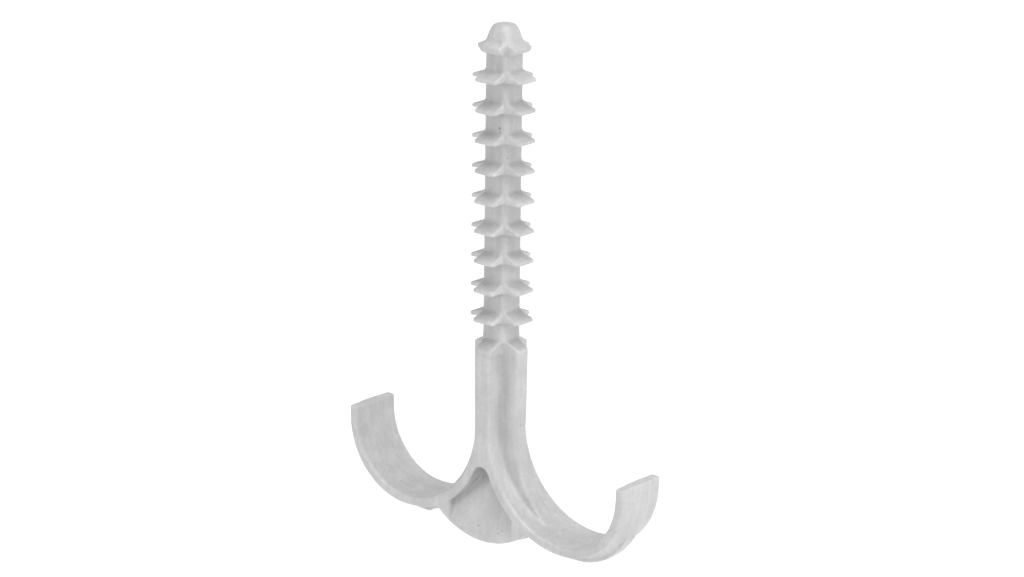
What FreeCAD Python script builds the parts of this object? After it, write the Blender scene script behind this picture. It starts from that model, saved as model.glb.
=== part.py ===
import FreeCAD, Part
import math
import os
import time
began = time.time()
import Sketcher
from FreeCAD import Placement, Rotation, Vector

# Cable hook clip: a moulded double hook on a barbed push-in shank.
# Frame: Z runs up the shank, X across the two hooks, Y across the straps.
# The origin is on the shank's axis at the shoulder, which meets the wall or ceiling.

os.makedirs("parts", exist_ok=True)
doc = FreeCAD.newDocument("cable_hook_clip")

# Driving dimensions in millimetres, one cell each.
SIZES = [
    ("strap_width", 7.2),
    ("strap_thick", 1.2),
    ("rim_round", 0.35),
    ("column_bend", 11.45),
    ("tip_bend", 8.3),
    ("column_drop", 11.55),
    ("tip_rise", 1.4),
    ("tip_corner", 0.6),
    ("inner_rib_reach", 3.35),
    ("inner_rib_half", 1.05),
    ("inner_rib_bend", 12.5),
    ("inner_rib_drop", 12.0),
    ("inner_rib_root", 0.45),
    ("inner_rib_least", 0.06),
    ("ridge_height", 0.22),
    ("ridge_half", 0.3),
    ("ridge_flank", 2.2),
    ("outer_rib_half", 0.95),
    ("outer_rib_bend", 8.93),
    ("outer_rib_shift", 0.17),
    ("outer_rib_drop", 16.52),
    ("outer_rib_root", 1.3),
    ("outer_rib_least", 0.45),
    ("outer_rib_blend", 0.3),
    ("rib_edge_round", 0.3),
    ("rib_draft", 0.06),
    ("lip_bend", 11.1),
    ("lip_low", 25.7),
    ("keel_width", 2.1),
    ("keel_low", 26.5),
    ("keel_half", 9.2),
    ("keel_end_low", 25.35),
    ("gate_width", 1.1),
    ("gate_low", 26.9),
    ("pocket_apex_round", 1.25),
    ("pocket_half", 4.95),
    ("pocket_corner", 0.8),
    ("web_half", 7.8),
    ("pocket_foot", 24.3),
    ("pocket_stand_off", 0.6),
    ("pocket_lean", 20),
    ("shank_width", 3.4),
    ("shank_corner", 0.6),
    ("shank_length", 36.1),
    ("nose_top", 2.1),
    ("nose_corner", 0.45),
    ("nose_height", 38.75),
    ("shoulder_core", 2.0),
    ("shoulder_run", 1.6),
    ("shoulder_slope", 0.16),
    ("ring_first", 2.4),
    ("ring_pitch", 3.7),
    ("ring_count", 9),
    ("ring_reach_x", 3.55),
    ("ring_reach_y", 3.35),
    ("ring_tip_thick", 0.35),
    ("ring_root_thick", 1.1),
    ("ring_under", 0.3),
    ("ring_droop", 0.15),
    ("ring_round_reach", 3.85),
    ("ring_notch_radius", 1.52),
    ("ring_notch_offset", 2.73),
    ("nose_ring_reach", 2.75),
    ("nose_ring_high", 35.6),
    ("nose_ring_tip_thick", 0.5),
]

sheet = doc.addObject("Spreadsheet::Sheet", "Sizes")
for row, (alias, value) in enumerate(SIZES, start=1):
    sheet.set(f"A{row}", alias)
    sheet.set(f"B{row}", str(value))
    sheet.setAlias(f"B{row}", alias)
doc.recompute()

body = doc.addObject("PartDesign::Body", "hook_clip")
body.Label = "hook_clip"


def origin_plane(role):
    for feature in body.Origin.OriginFeatures:
        if feature.Role == role:
            return feature
    raise ValueError(role)


def new_sketch(name, role):
    sketch = body.newObject("Sketcher::SketchObject", name)
    sketch.AttachmentSupport = [(origin_plane(role), "")]
    sketch.MapMode = "FlatFace"
    return sketch


def evaluated(sketch, formula):
    value = sketch.evalExpression(formula)
    return float(getattr(value, "Value", value))


def bind(sketch, constraint, formula):
    index = sketch.addConstraint(constraint)
    sketch.setExpression(f"Constraints[{index}]", formula)


def arc_between(start, end, radius, side):
    """Short arc from start to end; side +1 bulges to the right of the way, -1 to the left."""
    way = end - start
    half = way.Length / 2
    rise = math.sqrt(max(radius * radius - half * half, 0))
    across = Vector(-way.y, way.x, 0).normalize()
    centre = (start + end) / 2 + across * (rise * side)
    first = math.atan2(start.y - centre.y, start.x - centre.x)
    last = math.atan2(end.y - centre.y, end.x - centre.x)
    circle = Part.Circle(centre, Vector(0, 0, 1), radius)
    if side > 0:
        return Part.ArcOfCircle(circle, first, last), 1, 2
    return Part.ArcOfCircle(circle, last, first), 2, 1


def outline(sketch, corners):
    """Closed outline. Each corner is (x formula, y formula, radius formula or None, side) and
    its radius belongs to the stretch that leads to the next corner."""
    points = [Vector(evaluated(sketch, x), evaluated(sketch, y), 0) for x, y, _, _ in corners]
    begins = []
    ends = []
    for index, (_, _, radius, side) in enumerate(corners):
        here = points[index]
        there = points[(index + 1) % len(points)]
        if radius is None:
            begins.append((sketch.addGeometry(Part.LineSegment(here, there)), 1))
            ends.append((begins[-1][0], 2))
        else:
            arc, begin, end = arc_between(here, there, evaluated(sketch, radius), side)
            geometry = sketch.addGeometry(arc)
            begins.append((geometry, begin))
            ends.append((geometry, end))
    for index, (x, y, radius, _) in enumerate(corners):
        geometry, begin = begins[index]
        sketch.addConstraint(Sketcher.Constraint("Coincident", *ends[index - 1], geometry, begin))
        bind(sketch, Sketcher.Constraint("DistanceX", -1, 1, geometry, begin, points[index].x), x)
        bind(sketch, Sketcher.Constraint("DistanceY", -1, 1, geometry, begin, points[index].y), y)
        if radius is not None:
            bind(sketch, Sketcher.Constraint("Radius", geometry, evaluated(sketch, radius)), radius)


def size(name):
    return f"Sizes.{name}"


# Helpers that place sketches and features, each bound to the sheet.
def xz_sketch(name, toward_viewer="0"):
    """Sketch seen from the front: local x is X, local y is Z; it may stand off towards -Y."""
    sketch = new_sketch(name, "XZ_Plane")
    sketch.setExpression(".AttachmentOffset.Base.z", toward_viewer)
    return sketch


def xy_sketch(name, height="0"):
    sketch = new_sketch(name, "XY_Plane")
    sketch.setExpression(".AttachmentOffset.Base.z", height)
    return sketch


def checked(feature, name):
    doc.recompute()
    print(name, feature.State, round(feature.Shape.Volume, 3), len(feature.Shape.Solids),
          feature.Shape.isValid(), round(time.time() - began, 1))
    return feature


def pad(name, sketch, length, midplane=False, reverse=False):
    feature = body.newObject("PartDesign::Pad", name)
    feature.Profile = sketch
    feature.Midplane = midplane
    feature.Reversed = reverse
    feature.setExpression("Length", length)
    return checked(feature, name)


def revolve(name, sketch, axis, angle, reverse=False, kind="PartDesign::Revolution"):
    feature = body.newObject(kind, name)
    feature.Profile = sketch
    feature.ReferenceAxis = axis
    feature.Angle = angle
    feature.Reversed = reverse
    return checked(feature, name)


def loft(name, sketches):
    feature = body.newObject("PartDesign::AdditiveLoft", name)
    feature.Profile = sketches[0]
    feature.Sections = sketches[1:]
    return checked(feature, name)


def mirrored(name, originals, role):
    feature = body.newObject("PartDesign::Mirrored", name)
    feature.Originals = originals
    feature.MirrorPlane = (origin_plane(role), [""])
    body.Tip = feature
    return checked(feature, name)


def symmetric(half):
    """Closed outline from its right half, listed from the bottom middle round to the top middle."""
    corners = list(half)
    for index in range(len(half) - 1, -1, -1):
        x, y, _, _ = half[index]
        radius, side = half[index - 1][2:] if index else (None, 0)
        corners.append((f"(0 - {x})", y, radius, side))
    return corners


EDGE = "(Sizes.strap_width / 2)"

# Shank, nose and shoulder.
def rounded_square(sketch, width, corner):
    edge = f"({width} / 2)"
    inner = f"({width} / 2 - {corner})"
    outline(sketch, [
        (f"(0 - {inner})", f"(0 - {edge})", None, 0),
        (inner, f"(0 - {edge})", corner, 1),
        (edge, f"(0 - {inner})", None, 0),
        (edge, inner, corner, 1),
        (inner, edge, None, 0),
        (f"(0 - {inner})", edge, corner, 1),
        (f"(0 - {edge})", inner, None, 0),
        (f"(0 - {edge})", f"(0 - {inner})", corner, 1),
    ])
    return sketch


shank_section = rounded_square(xy_sketch("shank_section"), size("shank_width"), size("shank_corner"))
shank = pad("shank", shank_section, size("shank_length"))
nose_base = rounded_square(xy_sketch("nose_base", size("shank_length")), size("shank_width"),
                           size("shank_corner"))
nose_end = rounded_square(xy_sketch("nose_end", size("nose_height")), size("nose_top"), size("nose_corner"))
nose = loft("nose", [nose_base, nose_end])

# Barbs: drooping collars turned about the shank, trimmed to four square lobes with round notches.
ring_sketch = xz_sketch("ring_profile")
ring_tip_low = "(Sizes.ring_first - Sizes.ring_under - Sizes.ring_droop)"
outline(ring_sketch, [
    ("(Sizes.shank_width / 4)", "(Sizes.ring_first - Sizes.ring_under)", None, 0),
    ("(Sizes.shank_width / 2)", "(Sizes.ring_first - Sizes.ring_under)", None, 0),
    (size("ring_round_reach"), ring_tip_low, None, 0),
    (size("ring_round_reach"), f"({ring_tip_low} + Sizes.ring_tip_thick)", None, 0),
    ("(Sizes.shank_width / 2)", "(Sizes.ring_first - Sizes.ring_under + Sizes.ring_root_thick)", None, 0),
    ("(Sizes.shank_width / 4)", "(Sizes.ring_first - Sizes.ring_under + Sizes.ring_root_thick)", None, 0),
])
ring = revolve("ring", ring_sketch, (ring_sketch, ["V_Axis"]), 360)
rings = body.newObject("PartDesign::LinearPattern", "rings")
rings.Originals = [ring]
rings.Direction = (shank_section, ["N_Axis"])
rings.setExpression("Occurrences", size("ring_count"))
rings.setExpression("Length", "Sizes.ring_pitch * (Sizes.ring_count - 1)")
body.Tip = rings
checked(rings, "rings")

nose_ring_sketch = xz_sketch("nose_ring_profile")
nose_ring_low = "(Sizes.nose_ring_high - Sizes.ring_under)"
outline(nose_ring_sketch, [
    ("(Sizes.shank_width / 4)", nose_ring_low, None, 0),
    (size("nose_ring_reach"), nose_ring_low, None, 0),
    (size("nose_ring_reach"), f"({nose_ring_low} + Sizes.nose_ring_tip_thick)", None, 0),
    ("(Sizes.shank_width / 4)", f"({nose_ring_low} + Sizes.ring_root_thick)", None, 0),
])
nose_ring = revolve("nose_ring", nose_ring_sketch, (nose_ring_sketch, ["V_Axis"]), 360)


def cut(name, sketch, length):
    feature = body.newObject("PartDesign::Pocket", name)
    feature.Profile = sketch
    feature.Reversed = True
    feature.setExpression("Length", length)
    return checked(feature, name)


trim_length = "Sizes.nose_ring_high + Sizes.ring_root_thick"
trim_base = "Sizes.ring_first / 4"
lobe_trim = xy_sketch("lobe_trim", trim_base)
outline(lobe_trim, [
    ("(0 - Sizes.ring_reach_x)", "(0 - Sizes.ring_reach_y)", None, 0),
    (size("ring_reach_x"), "(0 - Sizes.ring_reach_y)", None, 0),
    (size("ring_reach_x"), size("ring_reach_y"), None, 0),
    ("(0 - Sizes.ring_reach_x)", size("ring_reach_y"), None, 0),
])
trim_circle = lobe_trim.addGeometry(Part.Circle(Vector(0, 0, 0), Vector(0, 0, 1), 6))
lobe_trim.addConstraint(Sketcher.Constraint("Coincident", trim_circle, 3, -1, 1))
bind(lobe_trim, Sketcher.Constraint("Radius", trim_circle, 7.7), "Sizes.ring_round_reach * 2")
lobe_ends = cut("lobe_ends", lobe_trim, trim_length)

notches = xy_sketch("notches", trim_base)
for sign_x in (-1, 1):
    for sign_y in (-1, 1):
        offset_x = f"({sign_x} * Sizes.ring_notch_offset)"
        offset_y = f"({sign_y} * Sizes.ring_notch_offset)"
        where = Vector(sign_x * 2.73, sign_y * 2.73, 0)
        circle = notches.addGeometry(Part.Circle(where, Vector(0, 0, 1), 1.52))
        bind(notches, Sketcher.Constraint("DistanceX", -1, 1, circle, 3, where.x), offset_x)
        bind(notches, Sketcher.Constraint("DistanceY", -1, 1, circle, 3, where.y), offset_y)
        bind(notches, Sketcher.Constraint("Radius", circle, 1.52), size("ring_notch_radius"))
lobe_notches = cut("lobe_notches", notches, trim_length)


# Straps: a flat strap section with rounded rims and a low ridge on its inner face, turned about
# the axes of the two bends.
BEND_X = "(Sizes.column_bend + Sizes.strap_thick)"
TIP_CENTRE_DROP = "(Sizes.column_drop + Sizes.column_bend - Sizes.tip_bend)"


def bend_sketch(name, angle, centre_drop, rise="0"):
    """Sketch square to the bend at an angle about its centre: local x is Y, and local y runs
    outward from the centre."""
    sketch = new_sketch(name, "YZ_Plane")
    sketch.AttachmentOffset = Placement(Vector(0, 0, 0), Rotation(Vector(1, 0, 0), 90 - angle))
    sketch.setExpression(".AttachmentOffset.Base.y", f"{rise} - {centre_drop}")
    sketch.setExpression(".AttachmentOffset.Base.z", BEND_X)
    return sketch


def strap_section(name, angle, bend, centre_drop):
    sketch = bend_sketch(name, angle, centre_drop)
    outer = f"({bend} + Sizes.strap_thick)"
    rim = size("rim_round")
    crest = f"({bend} - Sizes.ridge_height)"
    flank = "((Sizes.ridge_flank ^ 2 + Sizes.ridge_height ^ 2) / (2 * Sizes.ridge_height))"
    outline(sketch, symmetric([
        (size("ridge_half"), crest, flank, -1),
        ("(Sizes.ridge_half + Sizes.ridge_flank)", bend, None, 0),
        (f"({EDGE} - {rim})", bend, rim, 1),
        (EDGE, f"({bend} + {rim})", None, 0),
        (EDGE, f"({outer} - {rim})", rim, 1),
        (f"({EDGE} - {rim})", outer, None, 0),
    ]))
    return sketch


column_strap = strap_section("column_strap", 180, size("column_bend"), size("column_drop"))
tip_strap = strap_section("tip_strap", 360, size("tip_bend"), TIP_CENTRE_DROP)
doc.recompute()
arm = pad("column_arm", column_strap, size("column_drop"))
column_turn = revolve("column_turn", column_strap, (column_strap, ["H_Axis"]), 90, reverse=True)
tip_turn = revolve("tip_turn", tip_strap, (tip_strap, ["H_Axis"]), 90)
tip_straight = pad("tip_straight", tip_strap, size("tip_rise"), reverse=True)


# Ribs: sections square to the bend, whose height is where the rib's own circle crosses them.
def derived(sketch, name, formula):
    sketch.addProperty("App::PropertyFloat", name)
    sketch.setExpression(name, formula)
    doc.recompute()


def circle_crossing(sketch, name, angle, across, down, radius):
    """Distance from the bend's centre, along the section, to the rib's own circle."""
    ux = round(math.cos(math.radians(angle)), 9)
    uz = round(math.sin(math.radians(angle)), 9)
    derived(sketch, "Along", f"{across} * {ux} + {down} * {uz}")
    derived(sketch, name, f".Along + sqrt(max(.Along ^ 2 + {radius} ^ 2 - {across} ^ 2 - {down} ^ 2; 0))")


def rib_outline(sketch, face, outward, half, root, seat):
    """Rib on a strap's face: rounded crest, drafted walls and round roots that end on the face.
    outward is +1 for the outer face and -1 for the inner one; seat lies inside the strap."""
    derived(sketch, "Round", "min(Sizes.rib_edge_round; 0.3 * .Depth)")
    derived(sketch, "Root", f"min({root}; 0.55 * .Depth)")
    top = f"({face} + {outward} * .Depth)"
    wall = f"({half} + Sizes.rib_draft * .Depth)"
    curve = f"(({root} ^ 2 + .Root ^ 2) / (2 * .Root))"
    outline(sketch, symmetric([
        (f"({half} - .Round)", top, ".Round", -outward),
        (half, f"({top} - {outward} * .Round)", None, 0),
        (wall, f"({face} + {outward} * .Root)", curve, outward),
        (f"({wall} + {root})", face, None, 0),
        (f"({wall} + {root})", seat, None, 0),
    ]))
    return sketch


def inner_rib_section(name, angle):
    sketch = bend_sketch(name, angle, size("column_drop"))
    across = f"(Sizes.inner_rib_reach + Sizes.inner_rib_bend - {BEND_X})"
    down = "(Sizes.column_drop - Sizes.inner_rib_drop)"
    circle_crossing(sketch, "Crossing", angle, across, down, size("inner_rib_bend"))
    derived(sketch, "Depth", "max(Sizes.column_bend - .Crossing; Sizes.inner_rib_least)")
    return rib_outline(sketch, size("column_bend"), -1, size("inner_rib_half"), size("inner_rib_root"),
                       "(Sizes.column_bend + Sizes.strap_thick / 2)")


def outer_rib_section(name, angle, bend, centre_drop, rise="0"):
    sketch = bend_sketch(name, angle, centre_drop, rise)
    down = f"({centre_drop} - Sizes.outer_rib_drop)"
    circle_crossing(sketch, "Crossing", angle, size("outer_rib_shift"), down, size("outer_rib_bend"))
    derived(sketch, "Reach", f".Crossing - {bend} - Sizes.strap_thick")
    derived(sketch, "Depth", "(.Reach + Sizes.outer_rib_least + sqrt((.Reach - Sizes.outer_rib_least) ^ 2"
                             " + Sizes.outer_rib_blend ^ 2)) / 2")
    return rib_outline(sketch, f"({bend} + Sizes.strap_thick)", 1, size("outer_rib_half"),
                       size("outer_rib_root"), f"({bend} + Sizes.strap_thick / 2)")


inner_sections = [inner_rib_section(f"inner_rib_{angle}", angle) for angle in (180, 195, 210, 225, 240, 250)]
inner_column = pad("inner_rib_column", inner_sections[0], size("column_drop"))
inner_rib = loft("inner_rib", inner_sections)

outer_sections = []
for angle in (240, 255):
    outer_sections.append(outer_rib_section(f"outer_rib_{angle}", angle, size("column_bend"),
                                            size("column_drop")))
for angle in (270, 285, 300, 315, 330, 345, 360):
    outer_sections.append(outer_rib_section(f"outer_rib_{angle}", angle, size("tip_bend"),
                                            TIP_CENTRE_DROP))
outer_sections.append(outer_rib_section("outer_rib_end", 360, size("tip_bend"), TIP_CENTRE_DROP,
                                        size("tip_rise")))
outer_rib = loft("outer_rib", outer_sections)

second_hook = mirrored("second_hook", [arm, column_turn, tip_turn, tip_straight, inner_column, inner_rib,
                                       outer_rib], "YZ_Plane")

# Web between the hooks: its sides run inside the two straps, its foot is the round lip.
LIP_CENTRE = "(Sizes.lip_bend - Sizes.lip_low)"
MID_BEND = "(Sizes.column_bend + Sizes.strap_thick / 2)"
web_sketch = xz_sketch("web_outline")
lip_corner_z = f"({LIP_CENTRE} - sqrt(Sizes.lip_bend ^ 2 - Sizes.web_half ^ 2))"
outline(web_sketch, [
    ("(0 - Sizes.web_half)", lip_corner_z, size("lip_bend"), 1),
    (size("web_half"), lip_corner_z, MID_BEND, -1),
    ("(Sizes.strap_thick / 2)", "(0 - Sizes.column_drop)", None, 0),
    ("(0 - Sizes.strap_thick / 2)", "(0 - Sizes.column_drop)", MID_BEND, -1),
])
web = pad("web", web_sketch, size("strap_width"), midplane=True)

# Keel under the web, in line with the outer ribs, and the gate mark at its middle.
keel_sketch = xz_sketch("keel_outline")
keel_curve = ("((Sizes.keel_half ^ 2 + (Sizes.keel_low - Sizes.keel_end_low) ^ 2)"
              " / (2 * (Sizes.keel_low - Sizes.keel_end_low)))")
strap_seat = "(0 - Sizes.column_drop - Sizes.column_bend - Sizes.strap_thick / 2)"
outline(keel_sketch, [
    ("(0 - Sizes.keel_half)", "(0 - Sizes.keel_end_low)", keel_curve, 1),
    (size("keel_half"), "(0 - Sizes.keel_end_low)", None, 0),
    (BEND_X, "(0 - Sizes.keel_end_low)", None, 0),
    (BEND_X, strap_seat, None, 0),
    (size("web_half"), lip_corner_z, None, 0),
    ("(0 - Sizes.web_half)", lip_corner_z, None, 0),
    (f"(0 - {BEND_X})", strap_seat, None, 0),
    (f"(0 - {BEND_X})", "(0 - Sizes.keel_end_low)", None, 0),
])
keel = pad("keel", keel_sketch, size("keel_width"), midplane=True)
gate_sketch = xy_sketch("gate_outline", "0 - Sizes.gate_low")
gate_circle = gate_sketch.addGeometry(Part.Circle(Vector(0, 0, 0), Vector(0, 0, 1), 0.5))
gate_sketch.addConstraint(Sketcher.Constraint("Coincident", gate_circle, 3, -1, 1))
bind(gate_sketch, Sketcher.Constraint("Diameter", gate_circle, 1.1), size("gate_width"))
gate = pad("gate", gate_sketch, "Sizes.gate_low - Sizes.lip_low + Sizes.strap_thick")

# Pockets: a rounded triangle between the straps on each face, with a floor that leans out to
# nothing at the lip.
floor_plane = body.newObject("PartDesign::Plane", "pocket_floor")
floor_plane.AttachmentSupport = [(origin_plane("XZ_Plane"), "")]
floor_plane.MapMode = "FlatFace"
floor_plane.AttachmentOffset = Placement(Vector(0, 0, 0), Rotation(Vector(-1, 0, 0), 20))
floor_plane.setExpression(".AttachmentOffset.Base.y", "0 - Sizes.pocket_foot")
floor_plane.setExpression(".AttachmentOffset.Base.z", EDGE)
floor_plane.setExpression(".AttachmentOffset.Rotation.Angle", size("pocket_lean"))
doc.recompute()
STRAP_OUTER = "(Sizes.column_bend + Sizes.strap_thick)"
apex_z = (f"(0 - Sizes.column_drop - sqrt(({STRAP_OUTER} + Sizes.pocket_apex_round) ^ 2"
          f" - {STRAP_OUTER} ^ 2))")
apex_share = f"({STRAP_OUTER} / ({STRAP_OUTER} + Sizes.pocket_apex_round))"
apex_x = f"({BEND_X} * (1 - {apex_share}))"
apex_touch_z = f"(0 - Sizes.column_drop + {apex_share} * ({apex_z} + Sizes.column_drop))"
corner_z = f"(0 - Sizes.column_drop - sqrt({STRAP_OUTER} ^ 2 - ({BEND_X} - Sizes.pocket_half) ^ 2))"
pocket_sketch = xz_sketch("pocket_outline", f"{EDGE} + Sizes.pocket_stand_off")
foot_z = "(0 - Sizes.pocket_foot - 0.5)"
outline(pocket_sketch, [
    ("(0 - Sizes.pocket_half)", foot_z, None, 0),
    (size("pocket_half"), foot_z, None, 0),
    (size("pocket_half"), corner_z, STRAP_OUTER, -1),
    (apex_x, apex_touch_z, size("pocket_apex_round"), 1),
    (f"(0 - {apex_x})", apex_touch_z, STRAP_OUTER, -1),
    ("(0 - Sizes.pocket_half)", corner_z, None, 0),
])
pocket = body.newObject("PartDesign::Pocket", "pocket")
pocket.Profile = pocket_sketch
pocket.Type = "UpToFace"
pocket.UpToFace = (floor_plane, [""])
checked(pocket, "pocket")
second_pocket = mirrored("second_pocket", [pocket], "XZ_Plane")


shoulder_foot = rounded_square(xy_sketch("shoulder_foot", "0 - Sizes.shoulder_run"), size("shoulder_core"),
                               "(Sizes.shoulder_core / 4)")
shoulder = loft("shoulder", [shank_section, shoulder_foot])

# The arm tops slope down a little from the shank.
slope_sketch = xz_sketch("shoulder_slope")
outline(slope_sketch, [
    ("(Sizes.shank_width / 2)", "0", None, 0),
    (EDGE + " * 1.5", "0 - Sizes.shoulder_slope * (Sizes.strap_width * 0.75 - Sizes.shank_width / 2)",
     None, 0),
    (EDGE + " * 1.5", "(Sizes.strap_thick / 4)", None, 0),
    ("(Sizes.shank_width / 2)", "(Sizes.strap_thick / 4)", None, 0),
])
slope = revolve("arm_top_slope", slope_sketch, (slope_sketch, ["V_Axis"]), 360, kind="PartDesign::Groove")

doc.recompute()
for thing in doc.Objects:
    if "Invalid" in thing.State or "Error" in thing.State:
        raise RuntimeError(f"{thing.Name} did not build: {thing.State}")
if body.Shape.isNull() or not body.Shape.isValid() or len(body.Shape.Solids) != 1:
    raise RuntimeError("hook_clip is not one valid solid")
print("hook_clip", round(body.Shape.Volume, 2), body.Shape.BoundBox, len(body.Shape.Faces))
body.Shape.exportStep("parts/hook_clip.step")
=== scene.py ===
import math

import bmesh
import bpy
from mathutils import Matrix, Vector


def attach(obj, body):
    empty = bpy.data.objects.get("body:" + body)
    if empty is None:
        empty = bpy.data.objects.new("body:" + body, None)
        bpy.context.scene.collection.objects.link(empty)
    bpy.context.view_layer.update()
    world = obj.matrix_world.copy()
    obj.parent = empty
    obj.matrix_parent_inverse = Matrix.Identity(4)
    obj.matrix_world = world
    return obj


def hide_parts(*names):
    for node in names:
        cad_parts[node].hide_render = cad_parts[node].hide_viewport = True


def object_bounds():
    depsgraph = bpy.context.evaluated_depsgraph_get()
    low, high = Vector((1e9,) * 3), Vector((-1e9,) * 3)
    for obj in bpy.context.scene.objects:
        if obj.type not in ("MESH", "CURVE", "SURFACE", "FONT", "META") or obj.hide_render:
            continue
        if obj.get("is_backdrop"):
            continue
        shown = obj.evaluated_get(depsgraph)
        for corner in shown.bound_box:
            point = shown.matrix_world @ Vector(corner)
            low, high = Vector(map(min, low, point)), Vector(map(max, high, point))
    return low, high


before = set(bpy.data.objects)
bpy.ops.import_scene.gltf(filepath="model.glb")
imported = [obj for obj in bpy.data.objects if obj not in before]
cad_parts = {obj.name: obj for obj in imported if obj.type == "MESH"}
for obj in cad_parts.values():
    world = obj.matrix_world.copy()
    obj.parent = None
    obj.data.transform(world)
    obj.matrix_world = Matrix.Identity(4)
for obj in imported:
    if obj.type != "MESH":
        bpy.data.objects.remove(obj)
cad_low, cad_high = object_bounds()

# The hooks, their web and the column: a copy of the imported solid, cut level just below the shoulder.
# The mould leaves the strap ends a little round, and the keel ends where the web's lip turns up.
# All lengths in this script are millimetres, turned into metres by MM.
MM = 0.001
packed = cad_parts["hook_clip"]
WELD = 0.0005
COLUMN_CUT = -1.55
TIP_CENTRE = (12.65, -14.7)
TIP_INNER = 8.2
TIP_OUTER = 9.64
TIP_TOP = -13.3
TIP_CORNER = 0.35
TIP_CORNER_TURN = 15
TIP_CORNER_POINTS = 7
TIP_SPAN = (19, 24)
STRAP_HALF = 3.6
RIB_CENTRE = (12.82, -16.52)
RIB_BEND = 8.95
KEEL_EDGE = [(1.0, -25.98), (2.6, -25.7), (4.2, -25.2), (5.7, -24.47), (7.0, -23.7), (7.8, -23.75),
             (8.6, -24.2), (9.4, -24.7), (10.6, -25.2)]
KEEL_BELOW = -28

# Arcs that the strap ends are cut to: first angle, last angle and steps. The waste corners of the
# cutters stand clear of the strap, and are measured from the tip's centre.
INNER_ARC = (-62, 0, 24)
OUTER_ARC = (-16, 0, 8)
RIB_ARC = (-52, -28, 10)
INNER_WASTE_TOP = 4
INNER_WASTE_LOW = (3, -4)
OUTER_WASTE = (13, -11)
OVERCUT = 1
CUT_HALF = 4


def solid_from(name, points, faces):
    """Closed mesh object from points in millimetres."""
    mesh = bpy.data.meshes.new(name)
    mesh.from_pydata([Vector(point) * MM for point in points], [], faces)
    shell = bmesh.new()
    shell.from_mesh(mesh)
    bmesh.ops.recalc_face_normals(shell, faces=shell.faces)
    shell.to_mesh(mesh)
    shell.free()
    piece = bpy.data.objects.new(name, mesh)
    bpy.context.scene.collection.objects.link(piece)
    return piece


def bar(name, outline, turned, near, far):
    """Prism over an outline; turned gives (x, y, z) for (u, v, w), and w runs from near to far."""
    count = len(outline)
    points = [turned(u, v, near) for u, v in outline] + [turned(u, v, far) for u, v in outline]
    sides = [(i, (i + 1) % count, (i + 1) % count + count, i + count) for i in range(count)]
    return solid_from(name, points, sides + [tuple(range(count)), tuple(range(count, 2 * count))])


def arc(centre, bend, first, last, steps):
    """Points on a circle in the hooks' plane, angles in degrees above the level."""
    angles = [math.radians(first + (last - first) * i / steps) for i in range(steps + 1)]
    return [(centre[0] + bend * math.cos(a), centre[1] + bend * math.sin(a)) for a in angles]


hooks = bpy.data.objects.new("hooks", packed.data.copy())
bpy.context.scene.collection.objects.link(hooks)
work = bmesh.new()
work.from_mesh(hooks.data)
bmesh.ops.remove_doubles(work, verts=work.verts, dist=WELD * MM)
bmesh.ops.bisect_plane(work, geom=work.verts[:] + work.edges[:] + work.faces[:],
                       plane_co=(0, 0, COLUMN_CUT * MM), plane_no=(0, 0, 1), clear_outer=True)
bmesh.ops.holes_fill(work, edges=[edge for edge in work.edges if edge.is_boundary], sides=0)
work.to_mesh(hooks.data)
work.free()

cut_top = TIP_TOP + OVERCUT
inner = arc(TIP_CENTRE, TIP_INNER, *INNER_ARC) + [
    (TIP_CENTRE[0] + TIP_INNER, cut_top), (TIP_CENTRE[0] + INNER_WASTE_TOP, cut_top),
    (TIP_CENTRE[0] + INNER_WASTE_LOW[0], TIP_CENTRE[1] + INNER_WASTE_LOW[1])]
outer = arc(RIB_CENTRE, RIB_BEND, *RIB_ARC) + arc(TIP_CENTRE, TIP_OUTER, *OUTER_ARC) + [
    (TIP_CENTRE[0] + TIP_OUTER, cut_top), (TIP_CENTRE[0] + OUTER_WASTE[0], cut_top),
    (TIP_CENTRE[0] + OUTER_WASTE[0], TIP_CENTRE[1] + OUTER_WASTE[1])]
keel = KEEL_EDGE + [(KEEL_EDGE[-1][0], KEEL_BELOW), (KEEL_EDGE[0][0], KEEL_BELOW)]

cutters = []
for side in (-1, 1):
    for name, outline in (("tip_inner", inner), ("tip_outer", outer), ("keel_end", keel)):
        cutters.append(bar(name, outline, lambda u, v, w, s=side: (s * u, w, v), -CUT_HALF, CUT_HALF))
    for front in (-1, 1):
        edge_start = STRAP_HALF - TIP_CORNER
        corner_low = TIP_TOP - TIP_CORNER
        turns = [math.radians(TIP_CORNER_TURN * i) for i in range(TIP_CORNER_POINTS)]
        round_off = [(front * (edge_start + TIP_CORNER * math.sin(a)),
                      corner_low + TIP_CORNER * math.cos(a)) for a in turns]
        round_off += [(front * (STRAP_HALF + OVERCUT), corner_low),
                      (front * (STRAP_HALF + OVERCUT), cut_top), (front * edge_start, cut_top)]
        cutters.append(bar("tip_corner", round_off, lambda u, v, w, s=side: (s * w, u, v), *TIP_SPAN))
for cutter in cutters:
    cut = hooks.modifiers.new(cutter.name, "BOOLEAN")
    cut.operation = "DIFFERENCE"
    cut.solver = "EXACT"
    cut.object = cutter
trimmed = bpy.data.meshes.new_from_object(hooks.evaluated_get(bpy.context.evaluated_depsgraph_get()))
hooks.modifiers.clear()
hooks.data = trimmed
for cutter in cutters:
    bpy.data.objects.remove(cutter)

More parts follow.
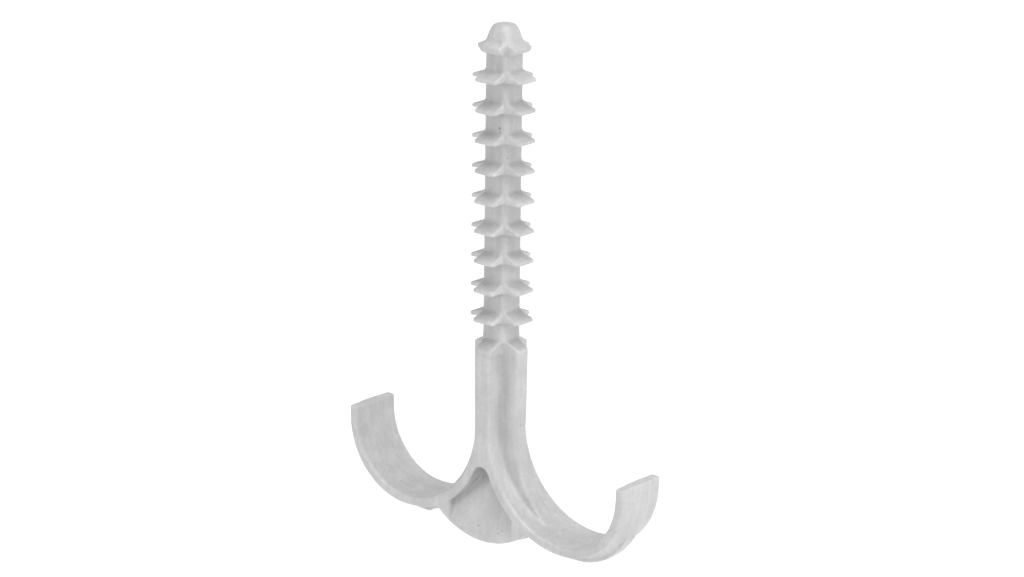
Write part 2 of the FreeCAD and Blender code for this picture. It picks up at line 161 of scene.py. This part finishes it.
# Shank, nose and shoulder: a square stem with rounded corners, drafted into a blunt nose above
# and flared below where it meets the sloping tops of the column's four arms. The stack gives
# height, width and corner radius; an arm gives its name, turn, (height, reach) levels and half width.
SHANK_STACK = [(-14.5, 2.2, 0.7), (-2.6, 2.3, 0.7), (-1.4, 2.95, 0.9), (-0.7, 3.2, 0.8),
               (-0.1, 3.6, 0.65), (0.3, 3.52, 0.6), (0.8, 3.47, 0.6), (36.0, 3.45, 0.6),
               (36.5, 3.55, 0.65), (37.2, 3.3, 0.78), (37.9, 2.95, 0.85), (38.3, 2.66, 0.9),
               (38.55, 2.3, 0.85), (38.65, 1.7, 0.7)]
CORNER_STEPS = 5
SIDE_ARM = [(-12.6, 3.3), (-9.0, 3.47), (-1.7, 3.56)]
STRAP_ARM = [(-1.75, 3.6), (-1.7, 3.6)]
ARMS = [("right_arm", 0, SIDE_ARM, 1.06), ("back_arm", 90, STRAP_ARM, 1.22),
        ("left_arm", 180, SIDE_ARM, 1.06), ("front_arm", 270, STRAP_ARM, 1.22)]
ARM_SLOPE = 0.56
ARM_START = 1.7
ARM_CHAMFER = 0.22
ARM_DRAFT = 0.3


def rounded_square(width, corner):
    inset = width / 2 - corner
    points = []
    for quarter in range(4):
        middle = Matrix.Rotation(math.radians(90 * quarter), 2) @ Vector((inset, inset))
        for i in range(CORNER_STEPS + 1):
            a = math.radians(90 * quarter + 90 * i / CORNER_STEPS)
            points.append((middle.x + corner * math.cos(a), middle.y + corner * math.sin(a)))
    return points


def stack(name, levels):
    """Closed skin through outlines with equal counts; levels is a list of (height, outline)."""
    count = len(levels[0][1])
    points = [(x, y, high) for high, outline in levels for x, y in outline]
    faces = [tuple(range(count)), tuple(range(len(points) - count, len(points)))]
    for level in range(len(levels) - 1):
        for i in range(count):
            low = level * count + i
            low_next = level * count + (i + 1) % count
            faces.append((low, low_next, low_next + count, low + count))
    return solid_from(name, points, faces)


shank = stack("shank", [(high, rounded_square(width, corner)) for high, width, corner in SHANK_STACK])
solids = [hooks, shank]
for name, turn, levels, half in ARMS:
    around = Matrix.Rotation(math.radians(turn), 2)
    outlines = []
    for high, reach in levels:
        across = [(0, -half - ARM_DRAFT), (reach - ARM_CHAMFER, -half), (reach, -half + ARM_CHAMFER),
                  (reach, half - ARM_CHAMFER), (reach - ARM_CHAMFER, half), (0, half + ARM_DRAFT)]
        outlines.append((high, [tuple(around @ Vector(point)) for point in across]))
    arm = stack(name, outlines + [(0, outlines[-1][1])])
    for vertex in arm.data.vertices[-len(across):]:
        run = abs(vertex.co.xy @ (around @ Vector((1, 0))))
        vertex.co.z = -ARM_SLOPE * (run - ARM_START * MM)
    solids.append(arm)

# Barbs: nine thin collars and a blunt one under the nose, each with four square lobes and a notch
# at every corner of the shank, so that they bend when the shank is pushed into its hole. The
# levels give the rise above a barb's seat and how far its outline has grown from the shank's own.
LOBE_REACH_X = 3.74
LOBE_REACH_Y = 3.52
LOBE_HALF = 1.64
LOBE_QUARTER = [(1.0, 0.0), (1.0, 0.45), (1.0, 0.8), (0.985, 0.93), (0.93, 1.0), (0.8, 0.97),
                (0.66, 0.95), (0.55, 1.02)]
NOTCH = 1.72
STEM_FLAT = 1.6
STEM_CORNER = 1.5
BARB_FIRST = 2.3
BARB_PITCH = 3.7
BARB_COUNT = 9
BARB_LEVELS = [(0.25, 0.0), (0.1, 0.5), (0.0, 1.0), (0.3, 1.04), (0.5, 0.96), (0.66, 0.7), (0.85, 0.42),
               (1.05, 0.2), (1.4, 0.0)]
NOSE_BARB_HIGH = 35.2
NOSE_BARB_REACH = 0.81
NOSE_BARB_LEVELS = [(0.0, 0.0), (0.05, 0.55), (0.5, 0.95), (0.75, 1.0), (0.95, 0.9), (1.1, 0.55),
                    (1.35, 0.2), (1.5, 0.0)]


def lobed(share, scale):
    """Outline of a barb: share 0 is the shank's own square, share 1 the full lobes."""
    full = []
    bare = []
    for turn in range(4):
        reach = (LOBE_REACH_X, LOBE_REACH_Y)[turn % 2] * scale
        half = [(reach * u, LOBE_HALF * v) for u, v in LOBE_QUARTER]
        lobe = [(u, -v) for u, v in reversed(half[1:])] + half
        stem = [(STEM_FLAT, max(-STEM_CORNER, min(STEM_CORNER, v))) for _, v in lobe]
        around = Matrix.Rotation(math.radians(90 * turn), 2)
        full += [around @ Vector(point) for point in lobe + [(NOTCH, NOTCH)]]
        bare += [around @ Vector(point) for point in stem + [(STEM_CORNER, STEM_CORNER)]]
    return [tuple(b.lerp(f, share)) for b, f in zip(bare, full)]


for i in range(BARB_COUNT):
    seat = BARB_FIRST + BARB_PITCH * i
    solids.append(stack("barb", [(seat + rise, lobed(share, 1)) for rise, share in BARB_LEVELS]))
solids.append(stack("nose_barb", [(NOSE_BARB_HIGH + rise, lobed(share, NOSE_BARB_REACH))
                                  for rise, share in NOSE_BARB_LEVELS]))

# The moulding: all of it is one closed skin without seams, softened the way a mould leaves edges,
# and then thinned to the facets that its bends need.
SKIN_GRAIN = 0.13
SOFTNESS = 0.5
SOFT_PASSES = 6
FACETS_KEPT = 0.48
joined = bmesh.new()
for piece in solids:
    joined.from_mesh(piece.data)
    bpy.data.objects.remove(piece)
skin_mesh = bpy.data.meshes.new("moulding")
joined.to_mesh(skin_mesh)
joined.free()
clip = bpy.data.objects.new("moulding", skin_mesh)
bpy.context.scene.collection.objects.link(clip)
skin = clip.modifiers.new("one_skin", "REMESH")
skin.mode = "VOXEL"
skin.voxel_size = SKIN_GRAIN * MM
skin.use_smooth_shade = True
soften = clip.modifiers.new("softened_edges", "SMOOTH")
soften.factor = SOFTNESS
soften.iterations = SOFT_PASSES
thin_out = clip.modifiers.new("fewer_facets", "DECIMATE")
thin_out.ratio = FACETS_KEPT
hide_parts("hook_clip")
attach(clip, "root")

# The plastic: light grey, half matt, a little cloudy from the mould, with faint draw marks along the
# shank, fine dust and a few dark grains. Each pattern has features per metre, detail and the darkest
# and lightest share of the base grey; a grain has its place and radius.
BASE_GREY = 0.53
CLOUD = (330, 4, 0.93, 1.05)
FINE = (2600, 2, 0.965, 1.03)
MARKS = (1500, 2, 0.955, 1.03)
MARKS_DRAWN = (1, 1, 0.06)
MARKS_RANGE = (0.32, 0.68)
NOISE_RANGE = (0.3, 0.7)
DUST_SCALE = 620
DUST_EDGE = (0.045, 0.11)
DUST_SHADE = 0.86
GRAINS = [(0.85, -1.75, 26.4, 0.24), (0.95, -1.75, 25.9, 0.15), (1.71, -1.2, 22.8, 0.14),
          (-0.4, -3.42, -23.8, 0.17), (2.9, -3.5, -23.9, 0.15), (3.45, -3.35, -23.55, 0.12),
          (10.3, 0.03, -22.5, 0.16), (3.4, -0.16, -10.65, 0.13), (3.45, 0.4, -12.3, 0.1),
          (-15.4, -1.3, -22.4, 0.13), (-19.3, -0.9, -19.5, 0.11), (-17.6, 1.2, -21.4, 0.12)]
GRAIN_CORE = 0.4
GRAIN_SHADE = 0.55
SHEEN = (900, 3, 0.34, 0.48)
REFRACTION = 1.5
GLOW_WITHIN = 0.3
GLOW_DEPTH = 0.5
BUMP_SCALE = 1400
BUMP_DETAIL = 3
BUMP_STRENGTH = 0.25
BUMP_DEPTH = 0.05

plastic = bpy.data.materials.new("grey_moulded_plastic")
plastic.use_nodes = True
tree = plastic.node_tree
shader = tree.nodes["Principled BSDF"]
shader.inputs["IOR"].default_value = REFRACTION
shader.inputs["Subsurface Weight"].default_value = GLOW_WITHIN
shader.inputs["Subsurface Radius"].default_value = (1, 1, 1)
shader.inputs["Subsurface Scale"].default_value = GLOW_DEPTH * MM
own_place = tree.nodes.new("ShaderNodeTexCoord").outputs["Object"]


def noise(scale, detail, stretch=(1, 1, 1)):
    """Noise in the clip's own frame; scale is in features per metre."""
    squeeze = tree.nodes.new("ShaderNodeMapping")
    squeeze.inputs["Scale"].default_value = stretch
    tree.links.new(own_place, squeeze.inputs["Vector"])
    node = tree.nodes.new("ShaderNodeTexNoise")
    node.inputs["Scale"].default_value = scale
    node.inputs["Detail"].default_value = detail
    tree.links.new(squeeze.outputs["Vector"], node.inputs["Vector"])
    return node.outputs["Fac"]


def ranged(value, low, high, to_low, to_high):
    """Smooth step of a value from one range into another."""
    node = tree.nodes.new("ShaderNodeMapRange")
    node.interpolation_type = "SMOOTHSTEP"
    tree.links.new(value, node.inputs["Value"])
    for name, number in (("From Min", low), ("From Max", high), ("To Min", to_low), ("To Max", to_high)):
        node.inputs[name].default_value = number
    return node.outputs["Result"]


def product(first, second):
    node = tree.nodes.new("ShaderNodeMath")
    node.operation = "MULTIPLY"
    tree.links.new(first, node.inputs[0])
    tree.links.new(second, node.inputs[1])
    return node.outputs["Value"]


cloud = ranged(noise(*CLOUD[:2]), *NOISE_RANGE, *CLOUD[2:])
fine = ranged(noise(*FINE[:2]), *NOISE_RANGE, *FINE[2:])
draw_marks = ranged(noise(*MARKS[:2], MARKS_DRAWN), *MARKS_RANGE, *MARKS[2:])
shade = product(product(cloud, fine), draw_marks)

dust = tree.nodes.new("ShaderNodeTexVoronoi")
dust.inputs["Scale"].default_value = DUST_SCALE
tree.links.new(own_place, dust.inputs["Vector"])
shade = product(shade, ranged(dust.outputs["Distance"], *DUST_EDGE, DUST_SHADE, 1.0))

for x, y, z, size in GRAINS:
    away = tree.nodes.new("ShaderNodeVectorMath")
    away.operation = "DISTANCE"
    away.inputs[1].default_value = (x * MM, y * MM, z * MM)
    tree.links.new(own_place, away.inputs[0])
    shade = product(shade, ranged(away.outputs["Value"], size * GRAIN_CORE * MM, size * MM, GRAIN_SHADE, 1.0))

grey = tree.nodes.new("ShaderNodeMath")
grey.operation = "MULTIPLY"
grey.inputs[1].default_value = BASE_GREY
tree.links.new(shade, grey.inputs[0])
tint = tree.nodes.new("ShaderNodeCombineColor")
for channel in ("Red", "Green", "Blue"):
    tree.links.new(grey.outputs["Value"], tint.inputs[channel])
tree.links.new(tint.outputs["Color"], shader.inputs["Base Color"])
tree.links.new(ranged(noise(*SHEEN[:2]), *NOISE_RANGE, *SHEEN[2:]), shader.inputs["Roughness"])

bump = tree.nodes.new("ShaderNodeBump")
bump.inputs["Strength"].default_value = BUMP_STRENGTH
bump.inputs["Distance"].default_value = BUMP_DEPTH * MM
tree.links.new(noise(BUMP_SCALE, BUMP_DETAIL), bump.inputs["Height"])
tree.links.new(bump.outputs["Normal"], shader.inputs["Normal"])
clip.data.materials.append(plastic)

# Ground: a plain pale sheet well below the hanging clip, with a faint glow of its own, bright
# enough to leave no hard shadow. Its size is in metres.
GROUND_SIZE = 6
GROUND_DROP = 40
PALE = (0.93, 0.93, 0.93, 1)
PAPER_ROUGH = 0.9
PAPER_GLOW = 0.12
bpy.ops.mesh.primitive_plane_add(size=GROUND_SIZE, location=(0, 0, cad_low[2] - GROUND_DROP * MM))
ground = bpy.context.object
ground.name = "pale_ground"
ground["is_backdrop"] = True
paper = bpy.data.materials.new("pale_paper")
paper.use_nodes = True
paper_shader = paper.node_tree.nodes["Principled BSDF"]
paper_shader.inputs["Base Color"].default_value = PALE
paper_shader.inputs["Roughness"].default_value = PAPER_ROUGH
paper_shader.inputs["Emission Color"].default_value = (1, 1, 1, 1)
paper_shader.inputs["Emission Strength"].default_value = PAPER_GLOW
ground.data.materials.append(paper)

# Studio light: seven wide soft sources on a dark surround, strongest from above and the right.
# Each has a name, the direction that it stands in and its strength.
SOFT_WIDTH = math.radians(50)
SOURCES = [("right_low", (0.949, 0.183, 0.259), 1.3), ("left_low", (-0.316, -0.913, 0.259), 1.0),
           ("front_high", (0.376, -0.434, 0.819), 0.7), ("right_high", (0.563, 0.108, 0.819), 1.0),
           ("overhead", (0.05, -0.05, 1), 1.3),
           ("left_high", (-0.188, -0.542, 0.819), 0.3), ("back_low", (-0.632, 0.73, 0.259), 0.3)]
world = bpy.data.worlds.new("dark_surround")
bpy.context.scene.world = world
world.use_nodes = True
world.node_tree.nodes["Background"].inputs["Color"].default_value = (0, 0, 0, 1)
for name, toward, power in SOURCES:
    source = bpy.data.lights.new(name, "SUN")
    source.energy = power
    source.angle = SOFT_WIDTH
    lamp = bpy.data.objects.new(name, source)
    bpy.context.scene.collection.objects.link(lamp)
    lamp.rotation_euler = (-Vector(toward)).to_track_quat("-Z", "Y").to_euler()

# Camera: the photograph's viewpoint, in front, to the right and above, with a long lens.
# TURN is about the upright axis, TILT looks down, ROLL leans the picture.
TURN = math.radians(40.688)
TILT = math.radians(17.381)
ROLL = math.radians(0.723)
DISTANCE = 350.545 * MM
ASIDE = 1.294 * MM
RAISE = 5.2774 * MM
SHOULDER_RISE = 0.5 * MM
LENS = 101.716
SENSOR = 36
NEAR = 10 * MM

level_right = Vector((math.cos(TURN), math.sin(TURN), 0))
ahead = Vector((-math.sin(TURN) * math.cos(TILT), math.cos(TURN) * math.cos(TILT), -math.sin(TILT)))
level_up = level_right.cross(ahead)
right = level_right * math.cos(ROLL) + level_up * math.sin(ROLL)
up = level_up * math.cos(ROLL) - level_right * math.sin(ROLL)
stand = right * ASIDE + up * RAISE - ahead * DISTANCE + Vector((0, 0, SHOULDER_RISE))
camera_data = bpy.data.cameras.new("camera")
camera_data.lens = LENS
camera_data.sensor_width = SENSOR
camera_data.clip_start = NEAR
camera = bpy.data.objects.new("camera", camera_data)
bpy.context.scene.collection.objects.link(camera)
camera.matrix_world = Matrix.Translation(stand) @ Matrix((right, up, -ahead)).transposed().to_4x4()
bpy.context.scene.camera = camera
bpy.context.scene.view_settings.view_transform = "Standard"

low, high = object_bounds()
